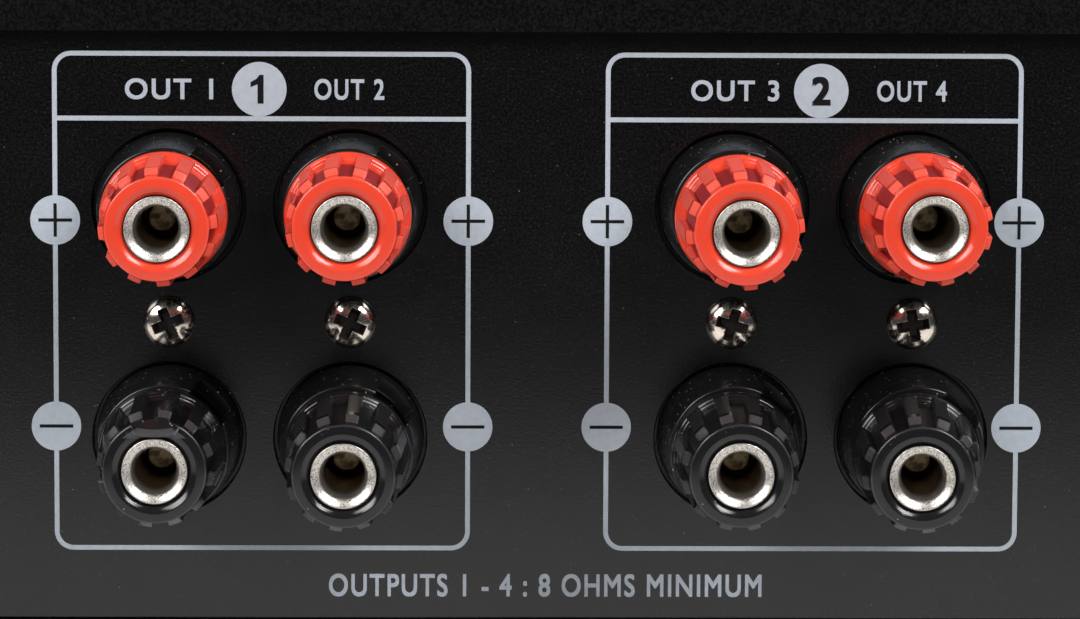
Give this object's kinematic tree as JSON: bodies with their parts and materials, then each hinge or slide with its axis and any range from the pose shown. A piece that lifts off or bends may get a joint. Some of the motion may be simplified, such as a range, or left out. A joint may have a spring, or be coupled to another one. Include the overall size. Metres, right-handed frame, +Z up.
{
  "type": "power amplifier",
  "caption": "Compact stereo power amplifier: black steel case, faceplate with level knob, and a rear panel with ribbed red and black screw terminals for two speaker pairs.",
  "frame": {"origin": "centre of the whole box on the surface that the feet stand on", "axes": "+X to the right seen from the front, +Y from the faceplate to the rear panel, +Z up"},
  "size_m": [0.304, 0.255, 0.082],
  "materials": {
    "black_coat": "fine textured black powder coat on steel sheet",
    "black_anodised": "black anodised aluminium, fine brushed",
    "red_plastic": "translucent glossy red moulding",
    "black_plastic": "glossy black moulding",
    "white_plastic": "glossy white moulding",
    "nickel": "bright nickel plate on brass or steel",
    "aluminium": "satin turned aluminium",
    "rubber": "black moulded rubber",
    "green_board": "green solder mask on glass epoxy board",
    "lamination": "varnished steel laminations",
    "coil_tape": "yellow tape over a copper winding",
    "capacitor_sleeve": "dark blue shrink sleeve",
    "green_lens": "clear green lens"
  },
  "bodies": {
    "case": {"chassis_pan": "black_coat", "rear_panel": "black_coat", "top_cover": "black_coat", "faceplate": "black_anodised", "heatsink": "black_anodised", "foot_front_left": "rubber", "foot_front_right": "rubber", "foot_rear_left": "rubber", "foot_rear_right": "rubber", "terminal_block_a": "black_plastic", "terminal_block_b": "black_plastic", "terminal_screw_a_right": "nickel", "terminal_screw_a_left": "nickel", "terminal_screw_b_right": "nickel", "terminal_screw_b_left": "nickel", "stud_a_right_plus": "nickel", "stud_a_right_minus": "nickel", "stud_a_left_plus": "nickel", "stud_a_left_minus": "nickel", "stud_b_right_plus": "nickel", "stud_b_right_minus": "nickel", "stud_b_left_plus": "nickel", "stud_b_left_minus": "nickel", "mains_inlet": "black_plastic", "input_socket_left": "white_plastic", "input_socket_right": "red_plastic", "power_switch": "black_plastic", "speaker_switch": "black_plastic", "level_control": "lamination", "indicator_lens": "green_lens", "transformer_core": "lamination", "transformer_coil": "coil_tape", "amplifier_board": "green_board", "power_chip_1": "black_plastic", "power_chip_2": "black_plastic", "reservoir_capacitor_1": "capacitor_sleeve", "reservoir_capacitor_2": "capacitor_sleeve", "bridge_rectifier": "black_plastic"},
    "core_a_right_plus": {"core_a_right_plus": "nickel"},
    "cap_a_right_plus": {"cap_a_right_plus": "red_plastic"},
    "core_a_right_minus": {"core_a_right_minus": "nickel"},
    "cap_a_right_minus": {"cap_a_right_minus": "black_plastic"},
    "core_a_left_plus": {"core_a_left_plus": "nickel"},
    "cap_a_left_plus": {"cap_a_left_plus": "red_plastic"},
    "core_a_left_minus": {"core_a_left_minus": "nickel"},
    "cap_a_left_minus": {"cap_a_left_minus": "black_plastic"},
    "core_b_right_plus": {"core_b_right_plus": "nickel"},
    "cap_b_right_plus": {"cap_b_right_plus": "red_plastic"},
    "core_b_right_minus": {"core_b_right_minus": "nickel"},
    "cap_b_right_minus": {"cap_b_right_minus": "black_plastic"},
    "core_b_left_plus": {"core_b_left_plus": "nickel"},
    "cap_b_left_plus": {"cap_b_left_plus": "red_plastic"},
    "core_b_left_minus": {"core_b_left_minus": "nickel"},
    "cap_b_left_minus": {"cap_b_left_minus": "black_plastic"},
    "power_button": {"power_button": "aluminium"},
    "speaker_button_a": {"speaker_button_a": "aluminium"},
    "speaker_button_b": {"speaker_button_b": "aluminium"},
    "level_knob": {"level_knob": "aluminium", "level_shaft": "aluminium"},
    "fuse_drawer": {"fuse_drawer": "black_plastic"}
  },
  "joints": [
    {"name": "core_a_right_plus_slide", "type": "slide", "parent": "case", "child": "core_a_right_plus", "axis": [-0.0105, 0.9999, 0], "range_m": [0, 0.0048]},
    {"name": "cap_a_right_plus_turn", "type": "hinge", "parent": "core_a_right_plus", "child": "cap_a_right_plus", "pos_m": [0.039, 0.1016, 0.05265], "axis": [-0.0105, 0.9999, 0], "range_deg": [0, 2165]},
    {"name": "core_a_right_minus_slide", "type": "slide", "parent": "case", "child": "core_a_right_minus", "axis": [0.0017, 1, 0.0052], "range_m": [0, 0.0048]},
    {"name": "cap_a_right_minus_turn", "type": "hinge", "parent": "core_a_right_minus", "child": "cap_a_right_minus", "pos_m": [0.039, 0.1016, 0.02815], "axis": [0.0017, 1, 0.0052], "range_deg": [0, 2165]},
    {"name": "core_a_left_plus_slide", "type": "slide", "parent": "case", "child": "core_a_left_plus", "axis": [0.0017, 1, 0.0035], "range_m": [0, 0.0048]},
    {"name": "cap_a_left_plus_turn", "type": "hinge", "parent": "core_a_left_plus", "child": "cap_a_left_plus", "pos_m": [0.02, 0.1016, 0.05265], "axis": [0.0017, 1, 0.0035], "range_deg": [0, 2165]},
    {"name": "core_a_left_minus_slide", "type": "slide", "parent": "case", "child": "core_a_left_minus", "axis": [0.0052, 0.9999, -0.0122], "range_m": [0, 0.0048]},
    {"name": "cap_a_left_minus_turn", "type": "hinge", "parent": "core_a_left_minus", "child": "cap_a_left_minus", "pos_m": [0.02, 0.1016, 0.02815], "axis": [0.0052, 0.9999, -0.0122], "range_deg": [0, 2165]},
    {"name": "core_b_right_plus_slide", "type": "slide", "parent": "case", "child": "core_b_right_plus", "axis": [-0.0035, 0.9999, -0.0105], "range_m": [0, 0.0048]},
    {"name": "cap_b_right_plus_turn", "type": "hinge", "parent": "core_b_right_plus", "child": "cap_b_right_plus", "pos_m": [-0.02, 0.1016, 0.05265], "axis": [-0.0035, 0.9999, -0.0105], "range_deg": [0, 2165]},
    {"name": "core_b_right_minus_slide", "type": "slide", "parent": "case", "child": "core_b_right_minus", "axis": [0.0087, 0.9999, -0.007], "range_m": [0, 0.0048]},
    {"name": "cap_b_right_minus_turn", "type": "hinge", "parent": "core_b_right_minus", "child": "cap_b_right_minus", "pos_m": [-0.02, 0.1016, 0.02815], "axis": [0.0087, 0.9999, -0.007], "range_deg": [0, 2165]},
    {"name": "core_b_left_plus_slide", "type": "slide", "parent": "case", "child": "core_b_left_plus", "axis": [0.0017, 1, 0.0087], "range_m": [0, 0.0048]},
    {"name": "cap_b_left_plus_turn", "type": "hinge", "parent": "core_b_left_plus", "child": "cap_b_left_plus", "pos_m": [-0.039, 0.1016, 0.05265], "axis": [0.0017, 1, 0.0087], "range_deg": [0, 2165]},
    {"name": "core_b_left_minus_slide", "type": "slide", "parent": "case", "child": "core_b_left_minus", "axis": [0.0401, 0.9991, -0.0157], "range_m": [0, 0.0048]},
    {"name": "cap_b_left_minus_turn", "type": "hinge", "parent": "core_b_left_minus", "child": "cap_b_left_minus", "pos_m": [-0.039, 0.1016, 0.02815], "axis": [0.0401, 0.9991, -0.0157], "range_deg": [0, 2165]},
    {"name": "power_button_press", "type": "slide", "parent": "case", "child": "power_button", "axis": [0, 1, 0], "range_m": [0, 0.003], "stiffness_N_per_m": 300},
    {"name": "speaker_button_a_press", "type": "slide", "parent": "case", "child": "speaker_button_a", "axis": [0, 1, 0], "range_m": [0, 0.003], "stiffness_N_per_m": 300},
    {"name": "speaker_button_b_press", "type": "slide", "parent": "case", "child": "speaker_button_b", "axis": [0, 1, 0], "range_m": [0, 0.003], "stiffness_N_per_m": 300},
    {"name": "level_knob_turn", "type": "hinge", "parent": "case", "child": "level_knob", "pos_m": [0.092, -0.1094, 0.045], "axis": [0, -1, 0], "range_deg": [-150, 150]},
    {"name": "fuse_drawer_slide", "type": "slide", "parent": "case", "child": "fuse_drawer", "axis": [0, 1, 0], "range_m": [0, 0.014]}
  ],
  "couplings": [
    {"joint": "cap_a_right_plus_turn", "follows": "core_a_right_plus_slide", "rad_per_m": 7854},
    {"joint": "cap_a_right_minus_turn", "follows": "core_a_right_minus_slide", "rad_per_m": 7854},
    {"joint": "cap_a_left_plus_turn", "follows": "core_a_left_plus_slide", "rad_per_m": 7854},
    {"joint": "cap_a_left_minus_turn", "follows": "core_a_left_minus_slide", "rad_per_m": 7854},
    {"joint": "cap_b_right_plus_turn", "follows": "core_b_right_plus_slide", "rad_per_m": 7854},
    {"joint": "cap_b_right_minus_turn", "follows": "core_b_right_minus_slide", "rad_per_m": 7854},
    {"joint": "cap_b_left_plus_turn", "follows": "core_b_left_plus_slide", "rad_per_m": 7854},
    {"joint": "cap_b_left_minus_turn", "follows": "core_b_left_minus_slide", "rad_per_m": 7854}
  ]
}
